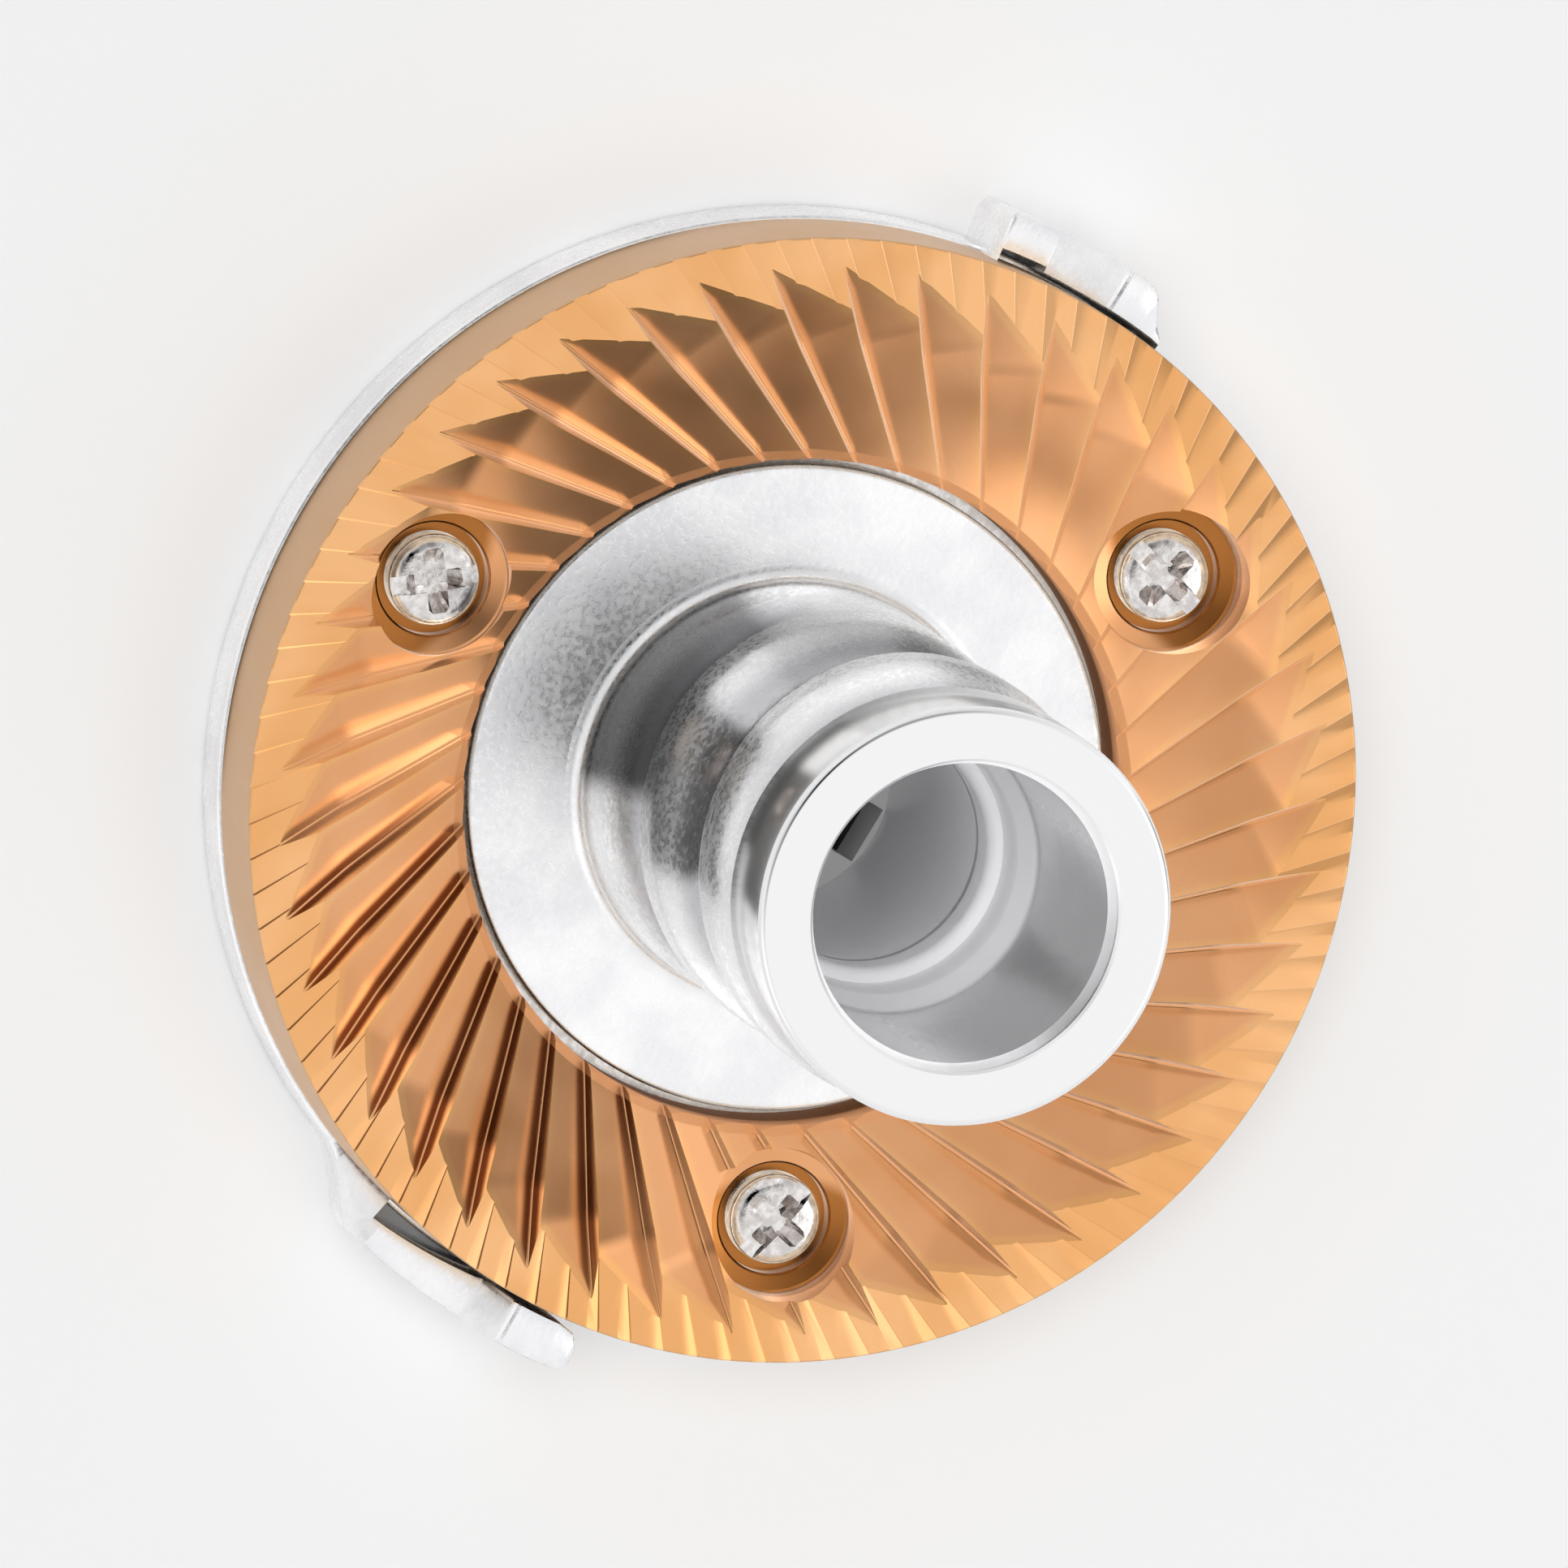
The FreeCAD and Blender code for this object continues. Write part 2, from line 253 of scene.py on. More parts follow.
FLANGE_PAINTED_CARDS = [(-20, 1.0), (5, 0.9), (25, 0.7), (40, 0.5), (47, 0.2), (78, 0.22), (114, 0.14),
                (121, 0.85)]
HUB_PAINTED_CARDS = [(-20, 1.0), (5, 0.85), (25, 0.55), (40, 0.45), (50, 0.35), (78, 0.25), (114, 0.15),
             (121, 0.85)]
TOOTH_PAINTED_CARDS = [(-36, 1.0), (-6, 0.4), (2, 0.42), (8, 0.8), (48, 0.75), (52, 1.0), (73, 1.0),
               (77, 0.13), (132, 0.13), (137, 0.95)]
print("stops:", len(FLANGE_PAINTED_CARDS), len(HUB_PAINTED_CARDS), len(TOOTH_PAINTED_CARDS))

# %% [markdown]
# The ring is tool steel, ground sharp and coated with a thin hard layer by vapour. That gives the
# eye a satin gold on the lands and a deeper copper in the cuts, which is why colour follows the
# depth below the uncut face. That face is flat outside and a shallow cone inside, so the depth is
# its level less the point's own level. The deepest roots and the seats are painted brown, as
# painted shade, and the outer wall and the bore are rougher, as they are not ground. Mirror rays
# see a
# painted reflection: a wall that is close shows a painted cream highlight, or painted brown shade
# on its shaded side, and one that is far shows the painted cards.
# %% Coated tool steel
FACE_LEVEL = 10.2
DISH_START = 27.7
DISH_ANGLE = 15.85
SHADED_SIDE = math.radians(156)
RIM_EDGE = (31.9 * MM, 31.97 * MM)
BORE_EDGE = (19.5 * MM, 19.6 * MM)


def coated_steel():
    """Hard coating on ground tool steel: pale gold lands, deeper copper in the cuts."""
    material, tree, shader, place = new_material("coated_tool_steel")
    radius, level = around_axis(tree, place)
    inside = add(tree, "Math MAXIMUM", add(tree, "Math SUBTRACT", DISH_START * MM, radius), 0.0)
    drop = add(tree, "Math MULTIPLY", inside, math.tan(math.radians(DISH_ANGLE)))
    land = add(tree, "Math SUBTRACT", FACE_LEVEL * MM, drop)
    depth = add(tree, "Math SUBTRACT", land, level)
    broad, fine = (add(tree, "TexNoise", {"Vector": place, "Scale": per_mm * PER_MM, "Detail": 2.0,
                                          "Roughness": 0.55}, output="Fac")
                   for per_mm in (0.12, 6.0))
    lands = tint(tree, broad, 0.35, 0.65, "EDAE70", "F6BC83")
    cuts = tint(tree, broad, 0.35, 0.65, "E8A672", "EFB07E")
    colour = tint(tree, depth, 0.15 * MM, 0.4 * MM, lands, cuts)
    # painted shade: the deepest roots and the seats turn brown
    colour = tint(tree, depth, 1.75 * MM, 2.15 * MM, colour, "B07038")
    colour = tint(tree, radius, *RIM_EDGE, colour, "D4AD84")
    # painted reflection: mirror rays see a cream highlight, painted brown shade or the painted
    # cards
    toward_side = add(tree, "VectorMath DOT_PRODUCT", place,
                      (math.cos(SHADED_SIDE), math.sin(SHADED_SIDE), 0.0), output="Value")
    side = add(tree, "Math DIVIDE", toward_side, radius)
    path = add(tree, "LightPath", output=None).outputs
    close_painted_reflection = tint(tree, side, 0.72, 0.9, "FFF6EA", "64402A")
    near = tint(tree, path["Ray Length"], 0.6 * MM, 1.2 * MM, close_painted_reflection, "F8E2C8")
    far = painted_cards(tree, place, TOOTH_PAINTED_CARDS)
    painted_reflection = tint(tree, path["Ray Length"], 6.0 * MM, 9.0 * MM, near, far)
    colour = tint(tree, path["Is Glossy Ray"], 0.0, 1.0, colour, painted_reflection)
    rough = add(tree, "MapRange", broad, 0.3, 0.7, 0.2, 0.28, **EASED)
    for edge, below, above in ((RIM_EDGE, 0.0, 0.15), (BORE_EDGE, 0.3, 0.0)):
        more = add(tree, "MapRange", radius, *edge, below, above, **EASED)
        rough = add(tree, "Math ADD", rough, more)
    strokes = add(tree, "Bump", {"Height": fine, "Distance": 0.0012 * MM, "Strength": 0.6})
    wire(tree, shader, {"Base Color": colour, "Roughness": rough, "Normal": strokes})
    return material


steel = coated_steel()

# %% [markdown]
# The carrier is die-cast aluminium. Its skin is pale with a fine grain of about 0.4 mm, which
# scatters the light, and in the auger's hollow it is smoother and painted a darker grey, as painted
# shade, with a dark line of painted shade along the steep flank. The tree that cuts the auger
# stores how deep a point lies in the hollow and how near it is to the steep flank, and this
# material reads both as attributes. The flange and the hub face each other, so each has its own
# painted cards for mirror rays, a painted reflection, with a fade between them at the flange's
# level. Nothing faces the upper hub, so its painted reflection there is plain white.
# %% Cast aluminium
FLANGE_LEVELS = (5.9 * MM, 6.4 * MM)
OPEN_LEVELS = (24.0 * MM, 26.0 * MM)


def cast_aluminium():
    """Die-cast aluminium: pale grainy skin, worn smooth in the valleys, which get painted shade."""
    material, tree, shader, place = new_material("cast_aluminium_skin")
    valley, flank = (add(tree, "Attribute", output="Fac", attribute_name=name)
                     for name in ("valley", "flank"))
    broad, grain = (add(tree, "TexNoise", {"Vector": place, "Scale": per_mm * PER_MM, "Detail": 3.0,
                                           "Roughness": 0.55}, output="Fac")
                    for per_mm in (0.2, 2.6))
    skin = tint(tree, broad, 0.35, 0.65, "F0F0F2", "FCFCFD")
    # painted shade: the auger's valleys are a darker grey
    colour = tint(tree, valley, 0.2, 0.8, skin, "C8C8CC")
    # painted shade: a dark line along the steep flank
    colour = tint(tree, flank, 0.35, 0.9, colour, "4E4E54")
    level = around_axis(tree, place)[1]
    # painted reflection: what mirror rays see, by level and azimuth
    post = tint(tree, level, *OPEN_LEVELS, painted_cards(tree, place, HUB_PAINTED_CARDS), "FCFCFD")
    painted_reflection = tint(tree, level, *FLANGE_LEVELS, painted_cards(tree, place, FLANGE_PAINTED_CARDS), post)
    glossy = add(tree, "LightPath", output="Is Glossy Ray")
    colour = tint(tree, glossy, 0.0, 1.0, colour, painted_reflection)
    worn, depth = (add(tree, "MapRange", valley, 0.25, 0.8, 1.0, share, **EASED)
                   for share in (0.7, 0.25))
    rough = add(tree, "MapRange", grain, 0.35, 0.7, 0.24, 0.4, **EASED)
    rough = add(tree, "Math MULTIPLY", rough, worn)
    height = add(tree, "Math MULTIPLY", grain, depth)
    pits = add(tree, "Bump", {"Height": height, "Distance": 0.012 * MM, "Strength": 1.0})
    wire(tree, shader, {"Base Color": colour, "Roughness": rough, "Normal": pits})
    return material


casting = cast_aluminium()

# %% [markdown]
# Inside the bores the wall is dull from the casting tool and from grease, so it scatters light
# rather than mirrors it, and to the eye it is an even grey that is a little brighter and more
# metallic in the upper bore. Low Metallic does this: a fully metallic wall would turn black, since
# most mirror rays end deep in the hole. Below the web's top the wall of the slot is painted nearly
# black, as painted shade.
# %% Bored aluminium
UPPER_BORE_LEVELS = (28.7 * MM, 29.5 * MM)
SLOT_SHADE_LEVELS = (3.3 * MM, 3.5 * MM)


def bored_aluminium():
    """Aluminium inside the bores: matt grey cast wall, a little brighter in the upper bore."""
    material, tree, shader, place = new_material("bored_aluminium")
    level = around_axis(tree, place)[1]
    patches, grain = (add(tree, "TexNoise", {"Vector": place, "Scale": per_mm * PER_MM,
                                             "Detail": detail, "Roughness": 0.55}, output="Fac")
                      for per_mm, detail in ((0.5, 3.0), (3.0, 2.0)))
    upper = add(tree, "MapRange", level, *UPPER_BORE_LEVELS, 0.0, 1.0, **EASED)
    height = add(tree, "Math MULTIPLY_ADD", grain, 0.2, patches)
    wire(tree, shader, {
        # painted shade: the slot's wall below the web's top is nearly black
        "Base Color": tint(tree, level, *SLOT_SHADE_LEVELS, "0A0A0B", "FCFCFD"),
        "Metallic": add(tree, "MapRange", upper, 0.0, 1.0, 0.1, 0.6, **EASED),
        "Roughness": add(tree, "MapRange", upper, 0.0, 1.0, 0.35, 0.2, **EASED),
        "Normal": add(tree, "Bump", {"Height": height, "Distance": 0.03 * MM, "Strength": 1.0}),
    })
    return material


bored = bored_aluminium()

# %% [markdown]
# The nose is turned on a lathe. The tool leaves fine lines around the axis, which draw the light
# out across them. The lines are a noise along one value, radius plus level, so the same pattern
# runs around the band and around the end face, about 0.07 mm apart. Real ones are a little finer,
# and these are as coarse as they need to be to show.
# %% Turned aluminium
def turned_aluminium():
    """Aluminium turned bright, with fine lines around the axis."""
    material, tree, shader, place = new_material("turned_aluminium")
    along = add(tree, "Math ADD", *around_axis(tree, place))
    lines = add(tree, "TexNoise", {"W": along, "Scale": 14.0 * PER_MM, "Detail": 1.0},
                output="Fac", noise_dimensions="1D")
    wire(tree, shader, {
        "Base Color": linear("F4F4F5"), "Roughness": 0.18,
        "Normal": add(tree, "Bump", {"Height": lines, "Distance": 0.0012 * MM, "Strength": 0.7}),
    })
    return material


bright = turned_aluminium()

# %% [markdown]
# The screws are steel with a bright zinc plating. To the eye they are the glossiest pieces, with
# soft patches from the plating bath.
# %% Plated steel
def plated_steel():
    """Bright plated steel of the screws."""
    material, tree, shader, place = new_material("plated_steel")
    patches = add(tree, "TexNoise", {"Vector": place, "Scale": 1.6 * PER_MM, "Detail": 3.0,
                                     "Roughness": 0.55}, output="Fac")
    wire(tree, shader, {
        "Base Color": tint(tree, patches, 0.35, 0.65, "D2CCC9", "EFECEA"),
        "Roughness": add(tree, "MapRange", patches, 0.3, 0.7, 0.1, 0.22, **EASED),
        "Normal": add(tree, "Bump", {"Height": patches, "Distance": 0.04 * MM, "Strength": 0.8}),
    })
    return material


plated = plated_steel()

# %% [markdown]
# A turned form. The section is a chain of points, radius and level, and the tree lays a grid over
# it: one direction of the grid follows the section and the other goes around the axis. Using the
# section's own points keeps every step and bevel exact, and one tree serves every turned piece.
# %% Tree for turned forms
def turned_tree():
    """Grid of Steps by the section's points, bent around the axis and closed at its seam."""
    tree, given = new_tree("turned_form", [("Steps", "Int", 360), ("Material", "Material", None)])
    count = add(tree, "GeometryNodeAttributeDomainSize", given["Geometry"])
    around = add(tree, "Math ADD", given["Steps"], 1.0)
    grid = add(tree, "GeometryNodeMeshGrid", {"Vertices X": around, "Vertices Y": count},
               output="Mesh")
    index = add(tree, "GeometryNodeInputIndex")
    along = add(tree, "Math MODULO", index, count)
    column = add(tree, "Math DIVIDE", add(tree, "Math ADD", index, 0.5), count)
    step = add(tree, "Math DIVIDE", add(tree, "Math FLOOR", column), given["Steps"])
    turn = add(tree, "Math MULTIPLY", step, 2 * math.pi)
    place = add(tree, "GeometryNodeInputPosition")
    sample = add(tree, "GeometryNodeSampleIndex", {
        "Geometry": given["Geometry"], "Value": place, "Index": along}, data_type="FLOAT_VECTOR")
    radius, _, level = add(tree, "SeparateXYZ", sample, output=None).outputs
    moved = add(tree, "GeometryNodeSetPosition", {
        "Geometry": grid, "Position": polar(tree, radius, turn, level)})
    closed = add(tree, "GeometryNodeMergeByDistance", {"Geometry": moved, "Distance": 1e-7})
    return end_tree(tree, closed, given["Material"])


turned_form = turned_tree()

# %% [markdown]
# An outline is a list of corners in millimetres, radius and level. A stretch of it can be divided
# evenly where the piece needs more points, and a corner can be rounded. Faces are turned outward
# after each step that could flip them.
# %% Outlines and turned pieces
def section(outline, pieces=None):
    """Chain of section points, with each stretch listed in pieces divided evenly."""
    points = []
    for number, (radius, level) in enumerate(outline):
        if points:
            last = points[-1]
            parts = (pieces or {}).get(number, 1)
            for part in range(1, parts):
                share = part / parts
                points.append((last[0] + (radius - last[0]) * share, 0,
                               last[2] + (level - last[2]) * share))
        points.append((radius, 0, level))
    return points


def outward(made):
    """Turn all faces outward."""
    shape = bmesh.new()
    shape.from_mesh(made.data)
    bmesh.ops.dissolve_degenerate(shape, dist=1e-8, edges=shape.edges)
    bmesh.ops.recalc_face_normals(shape, faces=shape.faces)
    shape.to_mesh(made.data)
    shape.free()


def turned(name, outline, material, steps=360, pieces=None):
    """Turned piece from an outline in millimetres."""
    points = section(outline, pieces)
    chain = [(number, number + 1) for number in range(len(points) - 1)]
    made = mesh_object(name, points, (), chain)
    run_tree(made, turned_form, {"Steps": steps, "Material": material})
    outward(made)
    print(name, "has", len(made.data.polygons), "faces")
    return made


def arc(centre, size, start, end, parts):
    """Points of an arc from its centre, its half sizes and two directions in degrees."""
    turns = [math.radians(start + (end - start) * part / parts) for part in range(parts + 1)]
    return [(centre[0] + size[0] * math.cos(turn), centre[1] + size[1] * math.sin(turn))
            for turn in turns]


def rounded(radius, level, size, parts=4):
    """Quarter round at an outer upper corner."""
    return arc((radius - size, level - size), (size, size), 0, 90, parts)


# %% [markdown]
# The ring starts as a turned blank: a flat outer zone, a dished inner zone and a bevel at the
# bore, with a fine round on the outer edge that catches a line of light.
# %% Ring blank
PLATE_TOP = 3.4
RING_OUTER = 32.0
RING_BORE = 19.0
BEVEL_WIDTH = 0.45
BEVEL_HEIGHT = 0.66

bevel_radius = RING_BORE + BEVEL_WIDTH
bevel_level = FACE_LEVEL - (DISH_START - bevel_radius) * math.tan(math.radians(DISH_ANGLE))
ring_outline = [(RING_BORE, PLATE_TOP), (RING_OUTER, PLATE_TOP)]
ring_outline += rounded(RING_OUTER, FACE_LEVEL, 0.12, 9)
ring_outline += [(DISH_START, FACE_LEVEL), (bevel_radius, bevel_level)]
ring_outline += [(RING_BORE, bevel_level - BEVEL_HEIGHT), (RING_BORE, PLATE_TOP)]
ring = turned("grinding_ring", ring_outline, steel)

# %% [markdown]
# The teeth are what a grinding wheel leaves when it runs along a straight line that misses the
# axis. They could be modelled face by face, but a cutter is shorter and true to the process. The
# breaker cutter is one long wedge with a gentle ramp side and a steep wall side, and its root
# bends from a steep entry to a flatter floor, which gives each cut the shape of a leaf.
# %% Breaker cutter
BREAKER_ENTRY = math.radians(20.8)
BREAKER_ENTRY_RUN = 4.3
BREAKER_BEND = 6.0
BREAKER_BEND_PARTS = 12
BREAKER_FLOOR = math.radians(10.6)
BREAKER_RAMP = math.radians(28.0)
BREAKER_WALL = math.radians(71.0)
BREAKER_REACH = 17.5
ROOT_ROUND = 0.12


def lofted(name, rows):
    """Closed mesh through rows of equally many points."""
    points = [point for row in rows for point in row]
    size = len(rows[0])
    faces = []
    for row in range(len(rows) - 1):
        for item in range(size):
            after = (item + 1) % size
            faces.append((row * size + item, row * size + after,
                          (row + 1) * size + after, (row + 1) * size + item))
    faces.append(tuple(range(size)))
    faces.append(tuple((len(rows) - 1) * size + item for item in reversed(range(size))))
    made = mesh_object(name, points, faces)
    outward(made)
    print(name, "has", len(made.data.polygons), "faces")
    return made


def breaker_rows():
    """Sections of the breaker cutter along its bent root, whose run points to -X."""
    entry, floor = BREAKER_ENTRY, BREAKER_FLOOR
    spine = [(4.0 * math.cos(entry), 4.0 * math.sin(entry))]
    for part in range(BREAKER_BEND_PARTS + 1):
        slope = entry + (floor - entry) * part / BREAKER_BEND_PARTS
        run = BREAKER_ENTRY_RUN + BREAKER_BEND * (math.sin(entry) - math.sin(slope))
        drop = BREAKER_ENTRY_RUN * math.tan(entry)
        drop += BREAKER_BEND * (math.cos(slope) - math.cos(entry))
        spine.append((-run, -drop))
    last = spine[-1]
    spine.append((-BREAKER_REACH, last[1] - (BREAKER_REACH + last[0]) * math.tan(floor)))
    half = (math.pi - BREAKER_RAMP - BREAKER_WALL) / 2
    middle = BREAKER_WALL + half
    reach = ROOT_ROUND / math.sin(half)
    centre = (math.cos(middle) * reach, math.sin(middle) * reach)
    cross = [(-8 * math.cos(BREAKER_RAMP), 8 * math.sin(BREAKER_RAMP))]
    for part in range(5):
        turn = middle + math.pi + (math.pi - 2 * half) * (part / 4 - 0.5)
        cross.append((centre[0] + ROOT_ROUND * math.cos(turn),
                      centre[1] + ROOT_ROUND * math.sin(turn)))
    cross.append((7 * math.cos(BREAKER_WALL), 7 * math.sin(BREAKER_WALL)))
    return [[(run, side, drop + rise) for side, rise in cross] for run, drop in spine]


breaker_cutter = lofted("breaker_cutter", breaker_rows())

# %% [markdown]
# Each finishing groove is a small wedge that is deepest at the rim and runs out inward. The seats
# for the screws are turned tools with two steps, with a soft corner at each.
# %% Groove and seat cutters
GROOVE_DEPTH = 0.13
GROOVE_LENGTH = 6.2
GROOVE_RAMP_WIDTH = 0.8
GROOVE_WALL_WIDTH = 0.08
SEAT_OUTER = 4.2
SEAT_INNER = 3.2


def groove_rows():
    """Two sections of the fine wedge, deep outside and running out inside."""
    rows = []
    for run in (-1.5, GROOVE_LENGTH):
        depth = GROOVE_DEPTH * (1 - run / GROOVE_LENGTH)
        wide = (depth + 0.5) / GROOVE_DEPTH
        rows.append([(-run, 0, -depth), (-run, -GROOVE_RAMP_WIDTH * wide, 0.5),
                     (-run, GROOVE_WALL_WIDTH * wide, 0.5)])
    return rows


groove_cutter = lofted("groove_cutter", groove_rows())
seat_outline = [(0, 2.0), (1.6, 2.0), (1.6, 5.8), (SEAT_INNER, 5.8), (SEAT_INNER, 6.65)]
seat_outline += [(SEAT_INNER + 0.12, 6.8), (SEAT_OUTER - 0.12, 6.95), (SEAT_OUTER, 7.05)]
seat_outline += [(SEAT_OUTER, 14.0), (0, 14.0)]
seat_cutter = turned("seat_cutter", seat_outline, steel, 72)

# %% [markdown]
# One tree sets copies of each cutter evenly around the axis and subtracts them all at once. A
# cutter's line passes the axis at a distance, the line radius, and the tree turns that distance
# into a heading. The seats use the same rule with a line that meets the axis. The exact solver is
# needed, because neighbouring cuts meet in knife edges.
# %% Tree that cuts the teeth
FAMILY_INPUTS = [("Cutter", "Object", None), ("Count", "Int", 3), ("First Angle", "Float", 0.0),
                 ("Radius", "Float", 0.03), ("Line Radius", "Float", 0.0), ("Level", "Float", 0.0)]


def cut_tree():
    """Subtract three families of cutters, each spaced evenly around the axis."""
    families = ("Breaker", "Groove", "Seat")
    sockets = [(f"{family} {label}", kind, value)
               for family in families for label, kind, value in FAMILY_INPUTS]
    tree, given = new_tree("toothed_ring", sockets + [("Material", "Material", None)])
    join = add(tree, "GeometryNodeJoinGeometry", output=None)
    for family in families:
        cutter, count, first_angle, radius, line_radius, level = (
            given[f"{family} {label}"] for label, kind, value in FAMILY_INPUTS)
        shape = add(tree, "GeometryNodeObjectInfo", {"Object": cutter}, output="Geometry",
                    transform_space="ORIGINAL")
        lean = add(tree, "Math ARCCOSINE", add(tree, "Math DIVIDE", line_radius, radius))
        heading = add(tree, "Math SUBTRACT", math.pi / 2, lean)
        placed = add(tree, "GeometryNodeTransform", {
            "Geometry": shape, "Translation": add(tree, "CombineXYZ", radius, 0.0, level),
            "Rotation": add(tree, "CombineXYZ", 0.0, 0.0, heading)})
        share = add(tree, "Math DIVIDE", add(tree, "GeometryNodeInputIndex"), count)
        angle = add(tree, "Math MULTIPLY_ADD", share, 2 * math.pi, first_angle)
        copies = add(tree, "GeometryNodeInstanceOnPoints", {
            "Points": add(tree, "GeometryNodePoints", count), "Instance": placed,
            "Rotation": add(tree, "CombineXYZ", 0.0, 0.0, angle)})
        tree.links.new(copies, join.inputs[0])
    tools = add(tree, "GeometryNodeRealizeInstances", join.outputs[0])
    cut = add(tree, "GeometryNodeMeshBoolean", {
        "Mesh 1": given["Geometry"], "Mesh 2": tools, "Self Intersection": True,
    }, output="Mesh", operation="DIFFERENCE", solver="EXACT")
    return end_tree(tree, cut, given["Material"])


toothed_ring = cut_tree()

# %% [markdown]
# The cuts themselves: 45 breaker cuts, 100 finishing grooves and three seats. Each row holds the
# count, the first angle, the radius where the cut starts, the line radius and the level.
# %% Cut the ring
SCREW_CIRCLE = 24.4
values = {"Material": steel}
for family, cutter, count, first_angle, radius, line_radius, level in (
        ("Breaker", breaker_cutter, 45, 4.4, 30.5, 11.6, FACE_LEVEL),
        ("Groove", groove_cutter, 100, -0.6, RING_OUTER, 11.7, FACE_LEVEL),
        ("Seat", seat_cutter, 3, 90.0, SCREW_CIRCLE, 0.0, 0.0)):
    values.update({
        family + " Cutter": cutter, family + " Count": count,
        family + " First Angle": math.radians(first_angle), family + " Radius": radius * MM,
        family + " Line Radius": line_radius * MM, family + " Level": level * MM})
run_tree(ring, toothed_ring, values)
for cutter in (breaker_cutter, groove_cutter, seat_cutter):
    bpy.data.objects.remove(cutter)
shade(ring, 11)
join_piece("grinding_ring", [ring], ["burr_ring"])

# %% [markdown]
# The auger on the hub pushes the beans down to the teeth. It could be swept as a solid thread and
# subtracted, but a cast groove has soft edges, so each point of the wall is drawn in by a rule: its
# distance to the nearest turn of the helix gives the depth. The flank that faces the flange is
# steep and the other is gentle. The groove fades in above the flange. The casting's unevenness is
# real shape too, stronger on the crests, and two masks are kept for the material: the valley, and
# the line of painted shade along the steep flank.
# %% Tree for the auger groove
GENTLE_FLANK = (-0.84, 0.25)
STEEP_FLANK = (0.58, 0.85)
GROOVE_FADE = (0.02, 0.17)
FOOT_FADE = (-0.1 * MM, 2.2 * MM)


def auger_tree():
    """Helical groove and cast skin on a turned post."""
    tree, given = new_tree("auger_groove", [
        ("Pitch", "Float", 0.0133), ("Depth", "Float", 0.00135), ("Start Level", "Float", 0.007),
        ("Start Angle", "Float", 0.0), ("Foot Level", "Float", 0.0046),
        ("Post Radius", "Float", 0.0119), ("Skin Depth", "Float", 0.00004), ("Seed", "Int", 7),
        ("Material", "Material", None),
    ])
    place = add(tree, "GeometryNodeInputPosition")
    x, y, z = add(tree, "SeparateXYZ", place, output=None).outputs
    radius = around_axis(tree, place)[0]
    angle = add(tree, "Math SUBTRACT", add(tree, "Math ARCTAN2", y, x), given["Start Angle"])
    share = add(tree, "Math FRACT", add(tree, "Math DIVIDE", angle, 2 * math.pi))
    level = add(tree, "Math SUBTRACT", z, given["Start Level"])
    turns = add(tree, "Math SUBTRACT", add(tree, "Math DIVIDE", level, given["Pitch"]), share)
    nearest = add(tree, "Math ROUND", turns)
    off = add(tree, "Math MULTIPLY", add(tree, "Math SUBTRACT", turns, nearest), 2.0)
    along = add(tree, "Math ADD", nearest, share)
    gentle = add(tree, "MapRange", off, *GENTLE_FLANK, 0.0, 1.0, **EASED)
    steep = add(tree, "MapRange", off, *STEEP_FLANK, 1.0, 0.0, **EASED)
    begins = add(tree, "MapRange", along, *GROOVE_FADE, 0.0, 1.0, **EASED)
    above = add(tree, "Math SUBTRACT", z, given["Foot Level"])
    clears = add(tree, "MapRange", above, *FOOT_FADE, 0.0, 1.0, **EASED)
    fade = add(tree, "Math MULTIPLY", begins, clears)
    wall_starts = add(tree, "Math SUBTRACT", given["Post Radius"], 0.5 * MM)
    on_wall = add(tree, "Math GREATER_THAN", radius, wall_starts)
    mask = add(tree, "Math MULTIPLY", add(tree, "Math MULTIPLY", gentle, steep), fade)
    mask = add(tree, "Math MULTIPLY", mask, on_wall)
    # mask of the painted shade line along the steep flank
    flank = add(tree, "Math MULTIPLY", steep, add(tree, "Math SUBTRACT", 1.0, steep))
    flank = add(tree, "Math MULTIPLY", add(tree, "Math MULTIPLY", flank, fade),
                add(tree, "Math MULTIPLY", on_wall, 4.0))
    skin = add(tree, "TexNoise", {
        "Vector": place, "W": add(tree, "Math MULTIPLY", given["Seed"], 1.7), "Scale": 700.0,
        "Detail": 3.0}, output="Fac", noise_dimensions="4D")
    rough = add(tree, "Math MULTIPLY", add(tree, "Math MULTIPLY", skin, given["Skin Depth"]),
                add(tree, "MapRange", mask, 0.0, 0.8, 1.0, 0.45, **EASED))
    drawn = add(tree, "Math MULTIPLY", mask, given["Depth"])
    inward = add(tree, "Math ADD", drawn, add(tree, "Math MULTIPLY", rough, on_wall))
    factor = add(tree, "Math DIVIDE", add(tree, "Math SUBTRACT", radius, inward), radius)
    bent = add(tree, "CombineXYZ", add(tree, "Math MULTIPLY", x, factor),
               add(tree, "Math MULTIPLY", y, factor), z)
    kept = given["Geometry"]
    for name, value in (("valley", mask), ("flank", flank)):
        kept = add(tree, "GeometryNodeStoreNamedAttribute", {
            "Geometry": kept, "Name": name, "Value": value}, data_type="FLOAT", domain="POINT")
    moved = add(tree, "GeometryNodeSetPosition", {"Geometry": kept, "Position": bent})
    return end_tree(tree, moved, given["Material"])


auger_groove = auger_tree()

# %% [markdown]
# The hub's wall is turned with 190 stations, one every sixth of a millimetre, so the groove has
# points to move. A small round joins it to the flange, as in any casting.
# %% Auger hub
FLANGE_TOP = 5.7
BAND_START = 38.3
HUB_RADIUS = 11.9
HUB_INSIDE = 9.3
HUB_STATIONS = 190
FOOT_WIDTH = 1.0
FOOT_HEIGHT = 0.9

